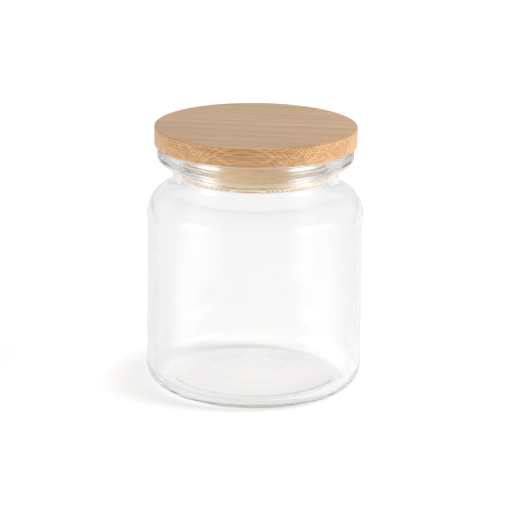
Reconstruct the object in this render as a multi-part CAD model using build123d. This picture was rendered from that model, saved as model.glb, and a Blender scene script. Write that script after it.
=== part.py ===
from build123d import *
import os
from math import acos, degrees, sin, sqrt

# A round glass storage jar with a push-in bamboo lid and a silicone seal ring.
# Millimetres, +Z up, origin at the middle of the base, on the surface that the jar stands on.
# The bamboo's grain runs along X.

# Glass jar, outside
jar_height = 114.2
body_diameter = 100.0
heel_radius = 9.8
shoulder_radius = 13.0
neck_diameter = 76.2
neck_height = 4.1              # straight part of the neck, from its fillet to the bead
neck_fillet = 6.0
bead_proud = 7.4               # how far the rim's bead stands out from the neck
bead_band = 5.0                # upright band of the bead, down from its top
bead_under_height = 5.6        # the bead's rounded underside
bead_under_reach = 11.7        # how far in that rounding would run if the neck let it
rim_edge_fillet = 1.4

# Glass jar, inside
glass_wall = 3.0
mouth_edge_fillet = 1.2
inner_heel_radius = 7.0
base_thickness = 3.5           # glass over the ring that the jar stands on
floor_crown = 2.4              # how far the floor's middle stands above its edge

# Glass jar, underside
bearing_width = 4.2            # the flat ring that the jar stands on
bearing_roll = 60.0            # radius that eases that ring's inner edge into the hollow
push_up_rise = 1.6             # middle of the hollow within that ring, above the table

# Lid board and plug
lid_overhang = 1.3             # lid board past the rim's bead, on the radius
lid_thickness = 8.8
lid_arris = 0.3
plug_clearance = 1.1           # plug to glass, on the radius
plug_depth = 14.7
plug_top_layer = 7.4           # the plug is two layers of staves, and this is the upper one
plug_chamfer = 0.6

# Each layer of bamboo: how many staves it has, and how wide its front and back ones are, as
# shares of a whole stave. Its whole staves divide what is left of its width.
lid_staves = 6
lid_front_share = 0.25
lid_back_share = 0.43
upper_staves = 4
upper_front_share = 0.96
upper_back_share = 0.44
lower_staves = 4
lower_front_share = 0.55
lower_back_share = 0.85

# Silicone seal ring, and its groove in the plug
lip_height = 1.5               # bamboo below the groove
groove_height = 9.5
groove_depth = 1.8
seal_groove_fit = 0.05         # running clearance on the groove's floor
seal_side_gap = 0.1            # seal to each side of the groove
seal_mouth_fit = 0.08          # fin tips to glass, drawn as pressed in
seal_band = 1.5                # thickness of the band that lies in the groove
fin_count = 3
fin_root = 1.4
fin_tip = 0.5

# Worked out from the sizes above
body_radius = body_diameter / 2
neck_radius = neck_diameter / 2
bead_radius = neck_radius + bead_proud
mouth_radius = neck_radius - glass_wall
lid_radius = bead_radius + lid_overhang
plug_radius = mouth_radius - plug_clearance
plug_low_z = jar_height - plug_depth
plug_layer_z = jar_height - plug_top_layer
groove_low_z = plug_low_z + lip_height
groove_radius = plug_radius - groove_depth

# The bead's underside is a quarter of an ellipse, cut short by the neck
bead_middle = (bead_radius - bead_under_reach, jar_height - bead_band)
bead_turn = acos((neck_radius - bead_middle[0]) / bead_under_reach)
crease_z = bead_middle[1] - bead_under_height * sin(bead_turn)

# The neck's fillet meets the shoulder's arc where the line between their middles crosses it
fillet_run = neck_radius + neck_fillet - (body_radius - shoulder_radius)
fillet_rise = sqrt((shoulder_radius + neck_fillet) ** 2 - fillet_run**2)
neck_foot_z = crease_z - neck_height
shoulder_z = neck_foot_z - fillet_rise    # top of the straight wall


def turned(outline):
    """The solid that a half section, drawn as radius and height, makes about Z."""
    return revolve(Plane.XZ * make_face(outline), Axis.Z)


def shoulder_and_fillet(depth):
    """Edges from the top of the straight wall to the neck, at a depth inside the outer skin."""
    arc = shoulder_radius - depth
    share = arc / (shoulder_radius + neck_fillet)
    meet = (
        body_radius - shoulder_radius + fillet_run * share,
        shoulder_z + fillet_rise * share,
    )
    return [
        TangentArc((body_radius - depth, shoulder_z), meet, tangent=(0, 1)),
        TangentArc(meet, (neck_radius - depth, neck_foot_z), tangent=(-fillet_rise, fillet_run)),
    ]


def neck_and_rim():
    """Edges from the neck's foot, round the bead and over the rim, and down the mouth."""
    side_top = (bead_radius, jar_height - rim_edge_fillet)
    rim_out = (bead_radius - rim_edge_fillet, jar_height)
    rim_in = (mouth_radius + mouth_edge_fillet, jar_height)
    mouth_top = (mouth_radius, jar_height - mouth_edge_fillet)
    sweep = degrees(bead_turn)
    return [
        Line((neck_radius, neck_foot_z), (neck_radius, crease_z)),
        EllipticalCenterArc(bead_middle, bead_under_reach, bead_under_height, -sweep, arc_size=sweep),
        Line((bead_radius, bead_middle[1]), side_top),
        TangentArc(side_top, rim_out, tangent=(0, 1)),
        Line(rim_out, rim_in),
        TangentArc(rim_in, mouth_top, tangent=(-1, 0)),
        Line(mouth_top, (mouth_radius, neck_foot_z)),
    ]


def crown(rise, reach, roll, low_z):
    """Edges from the top of a low dome out to its foot, which a roll rounds off level."""
    dome = (reach**2 - 2 * roll * rise + rise**2) / (2 * rise)
    share = dome / (dome + roll)
    top = (0, low_z + rise)
    meet = (reach * share, top[1] - dome + (dome - rise + roll) * share)
    return [
        TangentArc(top, meet, tangent=(1, 0)),
        TangentArc((reach, low_z), meet, tangent=(-1, 0)),
    ]


def underside_and_heel():
    """Edges from the middle of the hollow base, over the standing ring, to the straight wall."""
    bearing_out = (body_radius - heel_radius, 0)
    bearing_in = (bearing_out[0] - bearing_width, 0)
    return [
        *crown(push_up_rise, bearing_in[0], bearing_roll, 0),
        Line(bearing_in, bearing_out),
        TangentArc(bearing_out, (body_radius, heel_radius), tangent=(1, 0)),
    ]


def floor_and_inner_wall():
    """Edges from the middle of the floor out to the top of the inner straight wall."""
    inner_radius = body_radius - glass_wall
    floor_edge = (inner_radius - inner_heel_radius, base_thickness)
    wall_foot = (inner_radius, base_thickness + inner_heel_radius)
    return [
        *crown(floor_crown, floor_edge[0], inner_heel_radius, base_thickness),
        TangentArc(floor_edge, wall_foot, tangent=(1, 0)),
        Line(wall_foot, (inner_radius, shoulder_z)),
    ]


def make_jar():
    """The jar is one piece of glass: base, wall, shoulder, neck and rim bead."""
    return turned([
        *underside_and_heel(),
        Line((body_radius, heel_radius), (body_radius, shoulder_z)),
        *shoulder_and_fillet(0),
        *neck_and_rim(),
        *shoulder_and_fillet(glass_wall),
        *floor_and_inner_wall(),
        Line((0, base_thickness + floor_crown), (0, push_up_rise)),
    ])


def make_seal():
    """A band that lies in the groove, with tapered fins that press on the glass."""
    inner = groove_radius + seal_groove_fit
    band = inner + seal_band
    tip = mouth_radius - seal_mouth_fit
    low = groove_low_z + seal_side_gap
    high = groove_low_z + groove_height - seal_side_gap
    pitch = (high - low) / fin_count
    points = [(inner, low), (band, low)]
    for index in range(fin_count):
        fin_z = low + (index + 0.5) * pitch
        points += [
            (band, fin_z - fin_root / 2),
            (tip, fin_z - fin_tip / 2),
            (tip, fin_z + fin_tip / 2),
            (band, fin_z + fin_root / 2),
        ]
    points += [(band, high), (inner, high)]
    return turned(Polyline(*points, close=True))


def make_lid_board():
    """The round board that rests on the rim, with its arrises eased."""
    board = Pos(0, 0, jar_height) * Cylinder(
        lid_radius, lid_thickness, align=(Align.CENTER, Align.CENTER, Align.MIN)
    )
    return chamfer(board.edges().filter_by(GeomType.CIRCLE), lid_arris)


def make_plug():
    """The round plug below the board, with the seal's groove turned into it."""
    plug = Pos(0, 0, plug_low_z) * Cylinder(
        plug_radius, plug_depth, align=(Align.CENTER, Align.CENTER, Align.MIN)
    )
    plug = chamfer(plug.edges().filter_by(GeomType.CIRCLE).sort_by(Axis.Z)[0], plug_chamfer)
    groove = [
        (groove_radius, groove_low_z),
        (plug_radius + plug_clearance, groove_low_z),
        (plug_radius + plug_clearance, groove_low_z + groove_height),
        (groove_radius, groove_low_z + groove_height),
    ]
    return plug - turned(Polyline(*groove, close=True))


def cut_staves(name, disc, radius, z_range, count, front_share, back_share):
    """A layer of the disc cut into named staves, front to back, that meet at flat glued seams."""
    shares = [front_share, *[1] * (count - 2), back_share]
    whole = 2 * radius / sum(shares)
    low_z, high_z = z_range
    pieces = {}
    front = -radius
    for number, share in enumerate(shares, start=1):
        slab = Box(
            2 * radius, share * whole, high_z - low_z, align=(Align.CENTER, Align.MIN, Align.MIN)
        )
        pieces[f"{name}_{number}"] = disc & Pos(0, front, low_z) * slab
        front += share * whole
    return pieces


def make_bamboo():
    """Every stave of the lid board and of the plug's two layers, by node name."""
    plug = make_plug()
    lid_z = (jar_height, jar_height + lid_thickness)
    upper_z = (plug_layer_z, jar_height)
    lower_z = (plug_low_z, plug_layer_z)
    return {
        **cut_staves("lid_stave", make_lid_board(), lid_radius, lid_z,
                     lid_staves, lid_front_share, lid_back_share),
        **cut_staves("plug_upper_stave", plug, plug_radius, upper_z,
                     upper_staves, upper_front_share, upper_back_share),
        **cut_staves("plug_lower_stave", plug, plug_radius, lower_z,
                     lower_staves, lower_front_share, lower_back_share),
    }


def main():
    os.makedirs("parts", exist_ok=True)
    nodes = {"glass_jar": make_jar(), "seal_ring": make_seal(), **make_bamboo()}
    for name, solid in nodes.items():
        export_step(solid, f"parts/{name}.step")


main()
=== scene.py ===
import bmesh
import bpy
from math import acos, atan2, cos, degrees, exp, pi, radians, sin
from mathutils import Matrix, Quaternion, Vector


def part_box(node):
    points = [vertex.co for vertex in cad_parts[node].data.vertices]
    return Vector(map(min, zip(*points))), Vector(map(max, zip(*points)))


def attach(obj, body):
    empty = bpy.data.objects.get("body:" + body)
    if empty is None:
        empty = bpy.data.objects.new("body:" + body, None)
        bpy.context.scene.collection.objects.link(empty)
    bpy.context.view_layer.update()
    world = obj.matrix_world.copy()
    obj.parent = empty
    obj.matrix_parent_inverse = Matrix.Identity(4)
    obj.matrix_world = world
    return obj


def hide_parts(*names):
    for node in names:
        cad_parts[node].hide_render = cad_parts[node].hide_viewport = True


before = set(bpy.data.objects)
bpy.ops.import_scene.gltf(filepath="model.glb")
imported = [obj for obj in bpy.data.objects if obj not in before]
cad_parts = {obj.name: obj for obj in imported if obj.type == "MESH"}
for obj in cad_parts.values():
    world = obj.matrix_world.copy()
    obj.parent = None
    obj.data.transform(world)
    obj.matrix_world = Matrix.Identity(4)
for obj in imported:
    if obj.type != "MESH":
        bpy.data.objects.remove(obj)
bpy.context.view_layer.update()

# Sizes in metres. The frame gives the overall ones, and the rest are the jar's own.
BODY_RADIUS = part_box("glass_jar")[1][0]
JAR_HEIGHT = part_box("glass_jar")[1][2]
LID_RADIUS = max(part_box(name)[1][0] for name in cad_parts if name.startswith("lid_stave"))
PLUG_RADIUS = max(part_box(name)[1][0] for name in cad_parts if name.startswith("plug_upper"))
PLUG_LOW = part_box("plug_lower_stave_2")[0][2]

# The jar's outside
HEEL_RADIUS = 0.0098
SHOULDER_RADIUS = 0.013
NECK_RADIUS = 0.0381
NECK_HEIGHT = 0.0041
NECK_FILLET = 0.006
BEAD_RADIUS = 0.0455
BEAD_BAND = 0.005
BEAD_UNDER_HEIGHT = 0.0056
BEAD_UNDER_REACH = 0.0117
RIM_EDGE = 0.0014

# The jar's inside
GLASS_WALL = 0.003
MOUTH_EDGE = 0.0012
INNER_HEEL = 0.007
BASE_THICKNESS = 0.0035
FLOOR_CROWN = 0.0024
MARK_RADIUS = 0.021            # faint round mark that the mould leaves in the floor
MARK_WIDTH = 0.0035
MARK_DEPTH = 0.00015

# The jar's underside, which stands on a stippled ring
BEARING_WIDTH = 0.0042
BEARING_ROLL = 0.06
PUSH_UP_RISE = 0.0016
STIPPLE_HEIGHT = 0.00015
STIPPLE_ROWS = 4

# Worked out from the sizes above
MOUTH_RADIUS = NECK_RADIUS - GLASS_WALL
BEARING_OUT = BODY_RADIUS - HEEL_RADIUS
BEARING_IN = BEARING_OUT - BEARING_WIDTH
BEAD_MIDDLE = (BEAD_RADIUS - BEAD_UNDER_REACH, JAR_HEIGHT - BEAD_BAND)
BEAD_TURN = acos((NECK_RADIUS - BEAD_MIDDLE[0]) / BEAD_UNDER_REACH)
NECK_FOOT = BEAD_MIDDLE[1] - BEAD_UNDER_HEIGHT * sin(BEAD_TURN) - NECK_HEIGHT
FILLET_RUN = NECK_RADIUS + NECK_FILLET - (BODY_RADIUS - SHOULDER_RADIUS)
SHOULDER_TURN = acos(FILLET_RUN / (SHOULDER_RADIUS + NECK_FILLET))
SHOULDER_Z = NECK_FOOT - (SHOULDER_RADIUS + NECK_FILLET) * sin(SHOULDER_TURN)

# The lid board, the plug and the seal
LID_ARRIS = 0.0003
RIM_AIR = 0.00008              # the film of air between the board and the glass rim
PLUG_CHAMFER = 0.0006
LIP_HEIGHT = 0.0015
GROOVE_HEIGHT = 0.0095
GROOVE_DEPTH = 0.0018
SEAL_FIT = 0.00005             # the seal's clearance on the groove's floor
SEAL_BAND = 0.0015
FIN_COUNT = 3
FIN_ROOT = 0.0014
FIN_TIP = 0.0005

# How finely the shapes are cut: facets round each piece, and along each curve of its outline
GLASS_STEPS = 288
WOOD_STEPS = 240
SEAL_STEPS = 192
FLOOR_STEPS = 64
CROWN_STEPS = 40
HEEL_STEPS = 18
BEAD_STEPS = 18
SHOULDER_STEPS = 16
INNER_HEEL_STEPS = 14
FILLET_STEPS = 10
EDGE_STEPS = 6
ARRIS_STEPS = 4
SUPPORT = 0.0005               # rings this far from each curve keep the flats flat
GLASS_CREASE = 50              # edges sharper than this many degrees show as edges
CREASE = 40
SAME_SPOT = 1e-7               # vertices nearer than this are one
ON_RING = 1e-6                 # and nearer than this, a vertex lies on the standing ring

# Glass. Its shades are the shares of lamplight that pass through it to the floor.
GLASS_TINT = 0.99
GLASS_BEND = 1.45
GLASS_DARKENING = 1.5          # for each metre of glass
WAVE_SCALE = 28.0
WAVE_STRENGTH = 0.02
WAVE_DEPTH = 0.002
SHADE_FACE = 0.985
SHADE_SIDE = 0.82
SHADE_HEEL = 0.56
SIDE_SLANT = (0.1, 0.9)        # from square to the light to edge on, where the side's shade sets in
BELOW_NECK = (0.1, 0.085)      # and the heights
HEEL_REACH = (0.042, 0.046)    # distances from the axis where the heel's shade sets in
HEEL_RISE = (0.022, 0.002)     # and the heights

# Bamboo. Its patterns are laid out in millimetres, and its colours are as they show, 0 to 255.
MILLIMETRES = (1000, 1000, 1000)
PATTERN_STEP = 0.1             # from one stave's pattern to the next one's
SWAY_STRETCH = (0.02, 0.12, 0.12)
SWAY_REACH = 1.6
STREAK_STRETCH = (0.012, 0.5, 0.5)
STREAK_BREAKUP = 0.6
STREAK_RANGE = (0.3, 0.7)
BUNDLE_LEAN = 0.45             # how far the rows lean sideways for each millimetre up
BUNDLE_PITCH = 0.85
BUNDLE_SCATTER = 0.4
BUNDLE_EDGE = (0.1, -0.08)
CROWDED_TOP = (112.0, 120.5)   # the bundles crowd together towards the lid's top
CROWDED_LIP = (102.5, 100.5)   # and towards the plug's lip
BUNDLE_SIZE = (0.1, 0.2)       # what crowding adds, and the least
BUNDLE_DARKNESS = (0.55, 0.3)
BUNDLE_SHARE = 0.75
LOOKS_UP = (0.6, 0.95)         # the upward part of a face's normal, where this look sets in
LOOKS_DOWN = (-0.6, -0.95)
LOOKS_OUT = (0.6, 0.3)         # the same, up or down
LONG_SIDE = (34.0, 8.0)        # this near the staves' middle, the round edge shows long fibres
LIGHT_WOOD = (225, 182, 134)
DARK_WOOD = (192, 146, 98)
WARM_WOOD = (204, 158, 110)
WARMTH_STEP = 0.1
WARMTHS = 3                    # the staves take turns at this many warmths
BUNDLE_WOOD = (150, 98, 54)
# Painted shade and sheen: faces that look up take on this darker, greyer colour at this share
TOP_SHADE_WOOD = (190, 160, 125)
TOP_SHADE_SHARE = 0.12
# Painted light: the paler colour of undersides that lie in shade
UNDER_LIGHT_WOOD = (246, 242, 236)
# Long grain and painted shade: a deeper colour on the edge's front and back, away from the side
# lamps
DEEP_SHADE_WOOD = (180, 124, 66)
WOOD_BUMP = 0.15
WOOD_BUMP_DEPTH = 0.0002
WOOD_ROUGHNESS = (0.3, 0.42)

# How each layer's wood looks. Its first value is painted light, which makes its underside paler
# where it lies in shade; the second makes the long side of its edge deeper in colour, as long grain
# and as painted shade at its front and back; the third is a pale colour of painted light over the
# rest of it, for light that the plug gets little of under the lid, and the fourth is how strong it
# is.
LID_LOOK = {"underside_light": 0.88, "depth": 0.22, "painted_light_colour": (255, 255, 255), "painted_light_share": 0.0}
UPPER_LOOK = {"underside_light": 0.0, "depth": 0.0, "painted_light_colour": (255, 216, 161), "painted_light_share": 0.75}
LOWER_LOOK = {"underside_light": 0.1, "depth": 0.0, "painted_light_colour": (255, 240, 210), "painted_light_share": 0.88}

# Silicone
HAZE_SCALE = 400.0
HAZE_DARK = (246, 246, 244)
HAZE_LIGHT = (252, 252, 251)
MATT_ROUGHNESS = 0.35
SHEEN_ROUGHNESS = 0.2
SHEEN_SHARE = 0.92
SILICONE_CLEAR = (0.97, 0.97, 0.965, 1.0)
MILK_SLANT = (0.04, 0.4)
MILK_SHARE = (0.03, 0.95)

# The camera
CAMERA_AZIMUTH = 7.0
CAMERA_ELEVATION = 15.737
CAMERA_DISTANCE = 1.378
CAMERA_LENS = 209.1            # this and the sensor are in millimetres
CAMERA_SENSOR = 36.0
CAMERA_ROLL = 0.0103
CAMERA_AIM = (0.00013, 0.06106)   # along the view's right, and up

# Lamps: each one's name, its azimuth from the camera's, its elevation and its power
LAMPS = (("right_box", 80, 30, 60.0), ("left_box", -66, 18, 29.0))
LAMP_DISTANCE = 2.5
LAMP_SIZE = (1.6, 0.9)

# The floor's glow and shades, with the distances from the jar's axis over which they come in
FLOOR_RADIUS = 4.0
FLOOR_GAP = 0.0001
FLOOR_PAINT = 0.8
FLOOR_GLOW = 0.49              # with the lamps' light, this makes a bare floor white
FAR_GLOW = 0.5
FAR_RANGE = (0.2, 1.6)
GLASS_FLOOR_GLOW = 0.36        # the floor's glow in reflections and through glass
FOCUS_GLOW = 0.09              # painted light round the jar's foot, for the light that the glass would gather there
FOCUS_RANGE = (0.085, 0.056)
PATCH_GLOW = 0.65              # a painted patch of light on each side, which only reflections show
PATCH_RANGE = (0.065, 0.1)
EDGE_SHADE = 0.045             # painted shade on the floor behind the jar, which darkens the two edges of the jar's wall
EDGE_RANGE = (0.07, 0.12)
LAMP_SHADE = 0.42              # painted shade that evens out the floor under the right lamp
LAMP_RANGE = (0.05, 0.7)

# Soft wedges round the jar, in degrees from the camera's side: nothing, full, full and nothing
LEFT_PATCH = (-92, -74, -64, -46)
RIGHT_PATCH = (36, 60, 76, 98)
BEHIND = (100, 120, 146, 162)
LAMPWARD = (0, 60, 105, 152)

# The sky
SKY_LIGHT = 0.2
GLASS_SKY = 0.87               # the sky's brightness in reflections and through glass
# Painted reflections of the softboxes: bright patches in the sky that reflections and glass show,
# but that light nothing
SOFTBOX_GLOW = 2.0
SOFTBOX_RISE = (0.42, 0.1)

# How often light may bounce, in all and through glass, and then off gloss and through clear skins
GLASS_BOUNCES = 48
GLOSS_BOUNCES = 32

UP_AXIS = (0, 0, 1)
LEVEL = (1.0, 1.0, 0.0)


def arc(centre, wide, tall, start, end, steps):
    """Points on an ellipse's arc from start to end degrees, both ends left in."""
    turns = (radians(start + (end - start) * step / steps) for step in range(steps + 1))
    return [(centre[0] + wide * cos(turn), centre[1] + tall * sin(turn)) for turn in turns]


def corner(middle, radius, start, end, steps):
    """Points on a round corner from start to end degrees."""
    return arc(middle, radius, radius, start, end, steps)


def flat(start, end):
    """Two points just inside a straight stretch, which hold it flat beside its curves."""
    run = Vector(end) - Vector(start)
    inset = run.normalized() * min(SUPPORT, run.length / 3)
    return [tuple(Vector(start) + inset), tuple(Vector(end) - inset)]


def joined(stretches):
    """One outline from stretches that follow one another, held flat where they are straight."""
    points = list(stretches[0])
    for stretch in stretches[1:]:
        points += flat(points[-1], stretch[0])
        points += stretch
    return points


def shoulder(depth):
    """Points from the straight wall over the shoulder to the neck, at a depth in the glass."""
    turn = degrees(SHOULDER_TURN)
    bend = (BODY_RADIUS - SHOULDER_RADIUS, SHOULDER_Z)
    over = corner(bend, SHOULDER_RADIUS - depth, 0, turn, SHOULDER_STEPS)
    fillet = (NECK_RADIUS + NECK_FILLET, NECK_FOOT)
    up = corner(fillet, NECK_FILLET + depth, 180 + turn, 180, FILLET_STEPS)
    return over[:-1] + up


def crown(rise, reach, roll, low):
    """Points from the top of a low dome out to its foot, which a roll rounds off level."""
    dome = (reach**2 - 2 * roll * rise + rise**2) / (2 * rise)
    turn = degrees(atan2(reach, dome - rise + roll))
    over = corner((0.0, low + rise - dome), dome, 90, 90 - turn, CROWN_STEPS)
    foot = corner((reach, low + roll), roll, 270 - turn, 270, EDGE_STEPS)
    return over[:-1] + foot


def underside():
    """Points from the middle of the hollow base out over the standing ring, short of its edge."""
    pitch = BEARING_WIDTH / STIPPLE_ROWS
    ring = [(BEARING_IN + pitch * row, 0.0) for row in range(1, STIPPLE_ROWS)]
    return crown(PUSH_UP_RISE, BEARING_IN, BEARING_ROLL, 0.0) + ring


def jar_floor(edge):
    """Points from the middle of the floor out to its edge, with the mould's mark sunk in it."""
    return [
        (radius, z - MARK_DEPTH * exp(-((radius - MARK_RADIUS) / MARK_WIDTH) ** 2))
        for radius, z in crown(FLOOR_CROWN, edge, INNER_HEEL, BASE_THICKNESS)
    ]


def jar_outline():
    """Radius and height round the glass: from under its middle out, up, over the rim and back."""
    heel = (BODY_RADIUS - GLASS_WALL - INNER_HEEL, BASE_THICKNESS + INNER_HEEL)
    rim = (BEAD_RADIUS - RIM_EDGE, JAR_HEIGHT - RIM_EDGE)
    mouth = (MOUTH_RADIUS + MOUTH_EDGE, JAR_HEIGHT - MOUTH_EDGE)
    under_bead = -degrees(BEAD_TURN)
    return joined([
        underside(),
        corner((BEARING_OUT, HEEL_RADIUS), HEEL_RADIUS, -90, 0, HEEL_STEPS),
        shoulder(0),
        arc(BEAD_MIDDLE, BEAD_UNDER_REACH, BEAD_UNDER_HEIGHT, under_bead, 0, BEAD_STEPS),
        corner(rim, RIM_EDGE, 0, 90, EDGE_STEPS),
        corner(mouth, MOUTH_EDGE, 90, 180, EDGE_STEPS),
        shoulder(GLASS_WALL)[::-1],
        corner(heel, INNER_HEEL, 0, -90, INNER_HEEL_STEPS) + jar_floor(heel[0])[-2::-1],
    ])


def seal_outline():
    """The ring's section: a band in the groove, with fins that reach out to the glass."""
    low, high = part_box("seal_ring")
    inner = PLUG_RADIUS - GROOVE_DEPTH + SEAL_FIT
    band = inner + SEAL_BAND
    tip = high[0] - FIN_TIP / 2
    pitch = (high[2] - low[2]) / FIN_COUNT
    points = [(inner, low[2]), (band, low[2])]
    for index in range(FIN_COUNT):
        fin_z = low[2] + (index + 0.5) * pitch
        points.append((band, fin_z - FIN_ROOT / 2))
        points += corner((tip, fin_z), FIN_TIP / 2, -90, 90, EDGE_STEPS)
        points.append((band, fin_z + FIN_ROOT / 2))
    return points + [(band, high[2]), (inner, high[2])]


def board_outline():
    """The lid board's section, with its arrises eased."""
    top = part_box("lid_stave_3")[1][2]
    low = JAR_HEIGHT + RIM_AIR
    round_in = LID_RADIUS - LID_ARRIS
    return [
        (0.0, low),
        *corner((round_in, low + LID_ARRIS), LID_ARRIS, -90, 0, ARRIS_STEPS),
        *corner((round_in, top - LID_ARRIS), LID_ARRIS, 0, 90, ARRIS_STEPS),
        (0.0, top),
    ]


def upper_plug_outline():
    """The plug's upper layer, with the top of the seal's groove in its foot."""
    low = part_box("plug_upper_stave_2")[0][2]
    groove = PLUG_RADIUS - GROOVE_DEPTH
    groove_high = PLUG_LOW + LIP_HEIGHT + GROOVE_HEIGHT
    return [
        (0.0, low),
        (groove, low),
        (groove, groove_high),
        (PLUG_RADIUS, groove_high),
        (PLUG_RADIUS, JAR_HEIGHT),
        (0.0, JAR_HEIGHT),
    ]


def lower_plug_outline():
    """The plug's lower layer: its lip, and the rest of the groove above the lip."""
    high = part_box("plug_lower_stave_2")[1][2]
    groove = PLUG_RADIUS - GROOVE_DEPTH
    groove_low = PLUG_LOW + LIP_HEIGHT
    return [
        (0.0, PLUG_LOW),
        (PLUG_RADIUS - PLUG_CHAMFER, PLUG_LOW),
        (PLUG_RADIUS, PLUG_LOW + PLUG_CHAMFER),
        (PLUG_RADIUS, groove_low),
        (groove, groove_low),
        (groove, high),
        (0.0, high),
    ]


def turned(outline, steps, closed=False):
    """A bmesh turned about the upright axis from an outline of radius and height."""
    bm = bmesh.new()
    rims = [bm.verts.new((radius, 0.0, z)) for radius, z in outline]
    edges = [bm.edges.new(pair) for pair in zip(rims, rims[1:])]
    if closed:
        edges.append(bm.edges.new((rims[-1], rims[0])))
    bmesh.ops.spin(
        bm, geom=rims + edges, cent=(0, 0, 0), axis=UP_AXIS, angle=2 * pi, steps=steps,
        use_merge=True,
    )
    bmesh.ops.remove_doubles(bm, verts=bm.verts[:], dist=SAME_SPOT)
    bmesh.ops.recalc_face_normals(bm, faces=bm.faces[:])
    return bm


def stipple(bm):
    """Raises every other vertex of the standing ring, so that it stands on small bumps."""
    pitch = BEARING_WIDTH / STIPPLE_ROWS
    for vert in bm.verts:
        reach = vert.co.xy.length
        if vert.co.z < ON_RING and BEARING_IN - ON_RING < reach < BEARING_OUT + ON_RING:
            row = round((reach - BEARING_IN) / pitch)
            step = round(GLASS_STEPS * atan2(vert.co.y, vert.co.x) / (2 * pi))
            if (row + step) % 2:
                vert.co.z += STIPPLE_HEIGHT


def cut_seam(bm, y, keep_back):
    """Cuts the turned shape at a glued seam and closes the cut with a flat face."""
    cut = bmesh.ops.bisect_plane(
        bm, geom=bm.verts[:] + bm.edges[:] + bm.faces[:], dist=SAME_SPOT, plane_co=(0, y, 0),
        plane_no=(0, -1, 0) if keep_back else (0, 1, 0), clear_outer=True,
    )
    rim = [edge for edge in cut["geom_cut"] if isinstance(edge, bmesh.types.BMEdge)]
    bmesh.ops.holes_fill(bm, edges=rim)


def piece(name, bm, material, body, crease=CREASE):
    """Makes a finished object of a bmesh, riding on its body in place of its CAD node."""
    mesh = bpy.data.meshes.new(name)
    bm.to_mesh(mesh)
    bm.free()
    mesh.shade_smooth()
    mesh.set_sharp_from_angle(angle=radians(crease))
    mesh.materials.append(material)
    thing = bpy.data.objects.new(name + "_shown", mesh)
    bpy.context.scene.collection.objects.link(thing)
    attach(thing, body)
    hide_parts(name)


def make_jar():
    """The glass jar, in one piece."""
    bm = turned(jar_outline(), GLASS_STEPS)
    stipple(bm)
    piece("glass_jar", bm, glass_finish(), "jar", crease=GLASS_CREASE)


def make_staves(prefix, outline, finish, seed, look):
    """Cuts one layer of the lid or plug into its staves, as the frame has them."""
    names = sorted(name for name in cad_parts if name.startswith(prefix))
    for index, name in enumerate(names):
        low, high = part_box(name)
        bm = turned(outline, WOOD_STEPS)
        if index > 0:
            cut_seam(bm, low[1], keep_back=True)
        if index < len(names) - 1:
            cut_seam(bm, high[1], keep_back=False)
        bmesh.ops.recalc_face_normals(bm, faces=bm.faces[:])
        warmth = WARMTH_STEP * (index % WARMTHS)
        material = bamboo_finish(f"{finish}_{index + 1}", seed + index, warmth, **look)
        piece(name, bm, material, "lid")


def make_seal():
    """The silicone ring with its fins."""
    bm = turned(seal_outline(), SEAL_STEPS, closed=True)
    piece("seal_ring", bm, silicone_finish(), "seal")


def shader_nodes(name):
    """A new material, its node tree and its output."""
    material = bpy.data.materials.new(name)
    material.use_nodes = True
    tree = material.node_tree
    tree.nodes.clear()
    return material, tree, tree.nodes.new("ShaderNodeOutputMaterial")


def node(tree, kind, inputs=None, **settings):
    """A node with its settings, and its inputs set to values or linked from other sockets."""
    made = tree.nodes.new("ShaderNode" + kind)
    for key, value in settings.items():
        setattr(made, key, value)
    for key, value in (inputs or {}).items():
        if isinstance(value, bpy.types.NodeSocket):
            tree.links.new(value, made.inputs[key])
        else:
            made.inputs[key].default_value = value
    return made


def maths(tree, operation, *values):
    """The result of one sum on sockets and numbers."""
    return node(tree, "Math", dict(enumerate(values)), operation=operation).outputs[0]


def times(tree, first, *others):
    """The product of sockets and numbers."""
    product = first
    for value in others:
        product = maths(tree, "MULTIPLY", product, value)
    return product


def between(tree, value, low, high, at_low=0.0, at_high=1.0):
    """at_low up to low, at_high past high, and smooth in between. low may be the larger one."""
    made = node(
        tree, "MapRange",
        {"Value": value, "From Min": low, "From Max": high, "To Min": at_low, "To Max": at_high},
        interpolation_type="SMOOTHSTEP",
    )
    return made.outputs[0]


def blended(tree, share, first, second):
    """A mix of two colours: the first where the share is 0, and the second where it is 1."""
    return node(tree, "Mix", {0: share, 6: first, 7: second}, data_type="RGBA").outputs[2]


def colour(red, green, blue):
    """A linear colour from the 0 to 255 values that it shows as."""
    parts = (value / 255 for value in (red, green, blue))
    linear = (p / 12.92 if p <= 0.04045 else ((p + 0.055) / 1.055) ** 2.4 for p in parts)
    return (*linear, 1.0)


def grey(level):
    """A linear colour with no hue."""
    return (level, level, level, 1.0)


def stretched(tree, place, scale):
    """A place scaled along X, Y and Z."""
    return node(tree, "Mapping", {"Vector": place, "Scale": scale}).outputs[0]


def distance(tree, place):
    """How far a place is from the origin."""
    return node(tree, "VectorMath", {0: place}, operation="LENGTH").outputs["Value"]


def light_ray(tree):
    """1 for rays that only bring light to a surface, and 0 for those that show one."""
    path = node(tree, "LightPath").outputs
    return maths(tree, "MAXIMUM", path["Is Shadow Ray"], path["Is Diffuse Ray"])


def glass_shade(tree, place):
    """The tint of light that passes through: darker through slanting walls and the heel."""
    slant = node(tree, "LayerWeight", {"Blend": 0.5}).outputs["Facing"]
    height = node(tree, "SeparateXYZ", {"Vector": place}).outputs["Z"]
    reach = distance(tree, stretched(tree, place, LEVEL))
    side = times(tree, between(tree, slant, *SIDE_SLANT), between(tree, height, *BELOW_NECK))
    heel = times(tree, between(tree, reach, *HEEL_REACH), between(tree, height, *HEEL_RISE))
    wall = blended(tree, side, grey(SHADE_FACE), grey(SHADE_SIDE))
    return blended(tree, heel, wall, grey(SHADE_HEEL))


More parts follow.
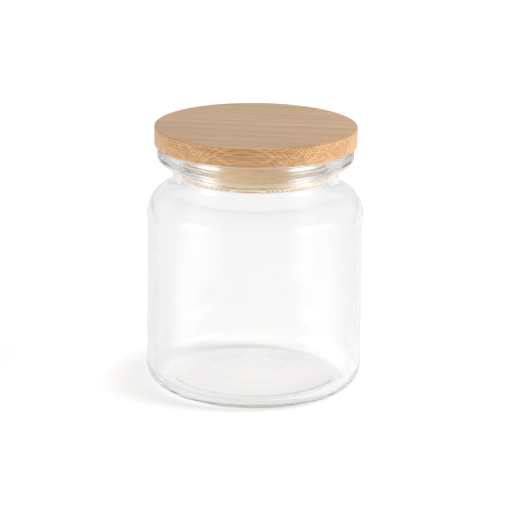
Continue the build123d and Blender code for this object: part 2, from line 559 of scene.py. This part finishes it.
def glass_finish():
    """Clear glass with a faint waviness. Lamps and soft light pass straight through it."""
    material, tree, output = shader_nodes("clear_glass")
    place = node(tree, "TexCoord").outputs["Object"]
    waves = node(tree, "TexNoise", {"Vector": place, "Scale": WAVE_SCALE, "Detail": 1.0})
    bump = node(
        tree, "Bump",
        {"Strength": WAVE_STRENGTH, "Distance": WAVE_DEPTH, "Height": waves.outputs["Fac"]},
    )
    glass = node(
        tree, "BsdfGlass",
        {"Color": grey(GLASS_TINT), "Roughness": 0.0, "IOR": GLASS_BEND, "Normal": bump.outputs[0]},
    )
    clear = node(tree, "BsdfTransparent", {"Color": glass_shade(tree, place)})
    mix = node(tree, "MixShader", {0: light_ray(tree), 1: glass.outputs[0], 2: clear.outputs[0]})
    depth = node(tree, "VolumeAbsorption", {"Color": grey(0.0), "Density": GLASS_DARKENING})
    tree.links.new(mix.outputs[0], output.inputs["Surface"])
    tree.links.new(depth.outputs[0], output.inputs["Volume"])
    return material


def fibre_bundles(tree, across, height):
    """How dark each spot is for the cut ends of fibre bundles, which lie in leaning rows."""
    lattice = node(tree, "CombineXYZ", {
        0: maths(tree, "MULTIPLY_ADD", height, BUNDLE_LEAN, across),
        1: times(tree, height, BUNDLE_PITCH),
        2: 0.0,
    })
    bundles = node(
        tree, "TexVoronoi",
        {"Vector": lattice.outputs[0], "Scale": 1.0, "Randomness": BUNDLE_SCATTER},
        voronoi_dimensions="2D",
    )
    crowded = maths(
        tree, "MAXIMUM", between(tree, height, *CROWDED_TOP), between(tree, height, *CROWDED_LIP)
    )
    size = maths(tree, "MULTIPLY_ADD", crowded, *BUNDLE_SIZE)
    rim = maths(tree, "SUBTRACT", bundles.outputs["Distance"], size)
    darkness = maths(tree, "MULTIPLY_ADD", crowded, *BUNDLE_DARKNESS)
    return times(tree, between(tree, rim, *BUNDLE_EDGE), darkness)


def bamboo_colour(tree, along, streaks, dots, warmth, underside_light, depth, painted_light_colour, painted_light_share):
    """Streaked and speckled wood, whose faces that look up, down and out differ in tone: painted
    shade and sheen on top, painted light below, and long grain with painted shade on the edge's
    front and back.
    """
    streaked = between(tree, streaks, *STREAK_RANGE)
    body = blended(tree, streaked, colour(*DARK_WOOD), colour(*LIGHT_WOOD))
    warmed = blended(tree, warmth, body, colour(*WARM_WOOD))
    # painted light: a pale colour over the plug's wood, which gets little light under the lid
    painted_lit = blended(tree, painted_light_share, warmed, colour(*painted_light_colour))
    speckled = blended(tree, times(tree, dots, BUNDLE_SHARE), painted_lit, colour(*BUNDLE_WOOD))
    normal = node(tree, "NewGeometry").outputs["Normal"]
    upward = node(tree, "SeparateXYZ", {"Vector": normal}).outputs["Z"]
    # painted shade and sheen on faces that look up
    top = times(tree, between(tree, upward, *LOOKS_UP), TOP_SHADE_SHARE)
    top_shaded = blended(tree, top, speckled, colour(*TOP_SHADE_WOOD))
    # painted light: undersides paler, where they lie in shade
    below = blended(tree, underside_light, body, colour(*UNDER_LIGHT_WOOD))
    faced = blended(tree, between(tree, upward, *LOOKS_DOWN), top_shaded, below)
    # long grain and painted shade on the front and back of the edge
    long_side = between(tree, maths(tree, "ABSOLUTE", along), *LONG_SIDE)
    upright = between(tree, maths(tree, "ABSOLUTE", upward), *LOOKS_OUT)
    return blended(tree, times(tree, long_side, upright, depth), faced, colour(*DEEP_SHADE_WOOD))


def bamboo_finish(name, seed, warmth, underside_light, depth, painted_light_colour, painted_light_share):
    """Flat-pressed bamboo: streaks and fibre bundles that run along X and sway a little."""
    material, tree, output = shader_nodes(name)
    place = node(tree, "TexCoord").outputs["Object"]
    grain = node(
        tree, "Mapping",
        {"Vector": place, "Location": (PATTERN_STEP * seed, 0.0, 0.0), "Scale": MILLIMETRES},
    ).outputs[0]
    axes = node(tree, "SeparateXYZ", {"Vector": grain}).outputs
    sway = node(
        tree, "TexNoise",
        {"Vector": stretched(tree, grain, SWAY_STRETCH), "Scale": 1.0, "Detail": 1.0},
    ).outputs["Fac"]
    shift = times(tree, maths(tree, "SUBTRACT", sway, 0.5), SWAY_REACH)
    dots = fibre_bundles(tree, maths(tree, "ADD", axes["Y"], shift), axes["Z"])
    streaks = node(tree, "TexNoise", {
        "Vector": stretched(tree, grain, STREAK_STRETCH),
        "Scale": 1.0, "Detail": 4.0, "Roughness": STREAK_BREAKUP,
    }).outputs["Fac"]
    tone = bamboo_colour(tree, axes["X"], streaks, dots, warmth, underside_light, depth, painted_light_colour, painted_light_share)
    smooth = maths(tree, "SUBTRACT", 1.0, dots)
    bump = node(
        tree, "Bump", {"Strength": WOOD_BUMP, "Distance": WOOD_BUMP_DEPTH, "Height": smooth}
    )
    rough = node(
        tree, "MapRange",
        {"Value": streaks, "To Min": WOOD_ROUGHNESS[0], "To Max": WOOD_ROUGHNESS[1]},
    )
    wood = node(
        tree, "BsdfPrincipled",
        {"Base Color": tone, "Roughness": rough.outputs[0], "Normal": bump.outputs[0]},
    )
    tree.links.new(wood.outputs[0], output.inputs["Surface"])
    return material


def silicone_finish():
    """Milky silicone, nearly clear where the ring faces the eye and white towards its sides."""
    material, tree, output = shader_nodes("silicone")
    place = node(tree, "TexCoord").outputs["Object"]
    haze = node(tree, "TexNoise", {"Vector": place, "Scale": HAZE_SCALE, "Detail": 2.0})
    tint = blended(tree, haze.outputs["Fac"], colour(*HAZE_DARK), colour(*HAZE_LIGHT))
    matt = node(tree, "BsdfPrincipled", {"Base Color": tint, "Roughness": MATT_ROUGHNESS})
    sheen = node(tree, "BsdfGlossy", {"Color": tint, "Roughness": SHEEN_ROUGHNESS})
    skin = node(tree, "MixShader", {0: SHEEN_SHARE, 1: matt.outputs[0], 2: sheen.outputs[0]})
    clear = node(tree, "BsdfTransparent", {"Color": SILICONE_CLEAR})
    level = stretched(tree, place, LEVEL)
    outward = node(tree, "VectorMath", {0: level}, operation="NORMALIZE").outputs[0]
    slant = node(tree, "LayerWeight", {"Blend": 0.5, "Normal": outward}).outputs["Facing"]
    milk = between(tree, slant, *MILK_SLANT, *MILK_SHARE)
    seen = times(tree, milk, maths(tree, "SUBTRACT", 1.0, light_ray(tree)))
    mix = node(tree, "MixShader", {0: seen, 1: clear.outputs[0], 2: skin.outputs[0]})
    tree.links.new(mix.outputs[0], output.inputs["Surface"])
    return material


def by_ray(tree, straight, in_glass, as_light):
    """One value for what the camera sees straight, one in or through glass, one for lighting."""
    path = node(tree, "LightPath").outputs
    glass = maths(tree, "MAXIMUM", path["Is Glossy Ray"], path["Is Transmission Ray"])
    rest = node(tree, "Mix", {0: glass, 2: as_light, 3: in_glass}).outputs[0]
    return node(tree, "Mix", {0: path["Is Camera Ray"], 2: rest, 3: straight}).outputs[0]


def bearing(tree, place):
    """How far round the jar a place or direction is: 0 is the camera's side, more is its right."""
    to_side = (0, 0, -radians(CAMERA_AZIMUTH))
    facing = node(tree, "Mapping", {"Vector": place, "Rotation": to_side}).outputs[0]
    axes = node(tree, "SeparateXYZ", {"Vector": facing}).outputs
    return maths(tree, "ARCTAN2", axes["X"], times(tree, axes["Y"], -1.0))


def wedge(tree, turn, low, low_full, high_full, high):
    """1 between two bearings in degrees, with soft sides that reach 0 at the outer two."""
    return times(
        tree,
        between(tree, turn, radians(low), radians(low_full)),
        between(tree, turn, radians(high), radians(high_full)),
    )


def side_patches(tree, turn):
    """1 in a soft wedge on each side of the jar, and 0 elsewhere."""
    return maths(tree, "ADD", wedge(tree, turn, *LEFT_PATCH), wedge(tree, turn, *RIGHT_PATCH))


def floor_in_glass(tree, place, reach):
    """The floor's glow in reflections and through glass, with its painted patches of light and
    painted shades.
    """
    turn = bearing(tree, place)
    focus = between(tree, reach, *FOCUS_RANGE)
    calm = maths(tree, "MULTIPLY_ADD", focus, FOCUS_GLOW, GLASS_FLOOR_GLOW)
    beside = times(tree, side_patches(tree, turn), between(tree, reach, *PATCH_RANGE))
    gloss = times(tree, node(tree, "LightPath").outputs["Is Glossy Ray"], PATCH_GLOW)
    lit = maths(tree, "ADD", calm, times(tree, beside, gloss))
    behind = wedge(tree, maths(tree, "ABSOLUTE", turn), *BEHIND)
    edges = times(tree, behind, between(tree, reach, *EDGE_RANGE))
    lampward = times(tree, wedge(tree, turn, *LAMPWARD), between(tree, reach, *LAMP_RANGE))
    dim = maths(tree, "MULTIPLY_ADD", edges, EDGE_SHADE, times(tree, lampward, LAMP_SHADE))
    return maths(tree, "MAXIMUM", maths(tree, "SUBTRACT", lit, dim), 0.0)


def floor_finish():
    """Paint that looks white where nothing shades it, and is clear from below."""
    material, tree, output = shader_nodes("floor_white")
    place = node(tree, "TexCoord").outputs["Object"]
    reach = distance(tree, place)
    far = maths(tree, "MULTIPLY_ADD", between(tree, reach, *FAR_RANGE), FAR_GLOW, FLOOR_GLOW)
    strength = by_ray(tree, far, floor_in_glass(tree, place, reach), FLOOR_GLOW)
    paint = node(tree, "BsdfDiffuse", {"Color": grey(FLOOR_PAINT)})
    glow = node(tree, "Emission", {"Strength": strength})
    both = node(tree, "AddShader", {0: paint.outputs[0], 1: glow.outputs[0]})
    below = node(tree, "NewGeometry").outputs["Backfacing"]
    clear = node(tree, "BsdfTransparent")
    seen = node(tree, "MixShader", {0: below, 1: both.outputs[0], 2: clear.outputs[0]})
    tree.links.new(seen.outputs[0], output.inputs["Surface"])
    return material


def make_floor():
    """A round floor, a hair below the jar."""
    bm = bmesh.new()
    bmesh.ops.create_circle(bm, cap_ends=True, segments=FLOOR_STEPS, radius=FLOOR_RADIUS)
    bmesh.ops.translate(bm, verts=bm.verts[:], vec=(0, 0, -FLOOR_GAP))
    mesh = bpy.data.meshes.new("floor")
    bm.to_mesh(mesh)
    bm.free()
    mesh.materials.append(floor_finish())
    floor = bpy.data.objects.new("floor", mesh)
    bpy.context.scene.collection.objects.link(floor)


def make_world():
    """A sky that is white to the eye, and a plain soft light on the object."""
    world = bpy.data.worlds.new("studio")
    bpy.context.scene.world = world
    world.use_nodes = True
    tree = world.node_tree
    tree.nodes.clear()
    place = node(tree, "TexCoord").outputs["Generated"]
    rise = node(tree, "SeparateXYZ", {"Vector": place}).outputs["Z"]
    patches = side_patches(tree, bearing(tree, place))
    lit = times(tree, patches, between(tree, rise, *SOFTBOX_RISE))
    in_glass = maths(tree, "MULTIPLY_ADD", lit, SOFTBOX_GLOW, GLASS_SKY)
    strength = by_ray(tree, 1.0, in_glass, SKY_LIGHT)
    sky = node(tree, "Background", {"Color": grey(1.0), "Strength": strength})
    output = node(tree, "OutputWorld")
    tree.links.new(sky.outputs[0], output.inputs["Surface"])


def towards(azimuth, elevation):
    """The direction out from the jar at an azimuth and elevation, as the views count them."""
    turn = radians(azimuth)
    rise = radians(elevation)
    return Vector((sin(turn) * cos(rise), -cos(turn) * cos(rise), sin(rise)))


def make_lamp(name, azimuth, elevation, power):
    """A softbox turned to the jar's middle, which doesn't show in the glass itself."""
    lamp = bpy.data.lights.new(name, "AREA")
    lamp.shape = "RECTANGLE"
    lamp.size, lamp.size_y = LAMP_SIZE
    lamp.energy = power
    thing = bpy.data.objects.new(name, lamp)
    thing.visible_glossy = False
    thing.visible_transmission = False
    bpy.context.scene.collection.objects.link(thing)
    target = Vector((0, 0, JAR_HEIGHT / 2))
    thing.location = towards(azimuth, elevation) * LAMP_DISTANCE + target
    facing = (target - thing.location).to_track_quat("-Z", "Y")
    thing.rotation_euler = facing.to_euler()


def make_camera():
    """A long lens, a little above the jar and turned to its middle."""
    lens = bpy.data.cameras.new("view")
    lens.lens = CAMERA_LENS
    lens.sensor_width = CAMERA_SENSOR
    camera = bpy.data.objects.new("view", lens)
    bpy.context.scene.collection.objects.link(camera)
    turn = radians(CAMERA_AZIMUTH)
    target = Vector((cos(turn) * CAMERA_AIM[0], sin(turn) * CAMERA_AIM[0], CAMERA_AIM[1]))
    back = towards(CAMERA_AZIMUTH, CAMERA_ELEVATION)
    camera.location = target + back * CAMERA_DISTANCE
    facing = (-back).to_track_quat("-Z", "Y")
    camera.rotation_euler = (facing @ Quaternion(UP_AXIS, CAMERA_ROLL)).to_euler()
    bpy.context.scene.camera = camera


make_camera()
make_world()
make_floor()
for lamp_name, lamp_azimuth, lamp_elevation, lamp_power in LAMPS:
    make_lamp(lamp_name, CAMERA_AZIMUTH + lamp_azimuth, lamp_elevation, lamp_power)

make_jar()
make_staves("lid_stave", board_outline(), "bamboo_lid", seed=1, look=LID_LOOK)
make_staves("plug_upper", upper_plug_outline(), "bamboo_upper", seed=11, look=UPPER_LOOK)
make_staves("plug_lower", lower_plug_outline(), "bamboo_lower", seed=21, look=LOWER_LOOK)
make_seal()

bpy.context.scene.view_settings.view_transform = "Standard"
bpy.context.scene.cycles.max_bounces = GLASS_BOUNCES
bpy.context.scene.cycles.transmission_bounces = GLASS_BOUNCES
bpy.context.scene.cycles.glossy_bounces = GLOSS_BOUNCES
bpy.context.scene.cycles.transparent_max_bounces = GLOSS_BOUNCES
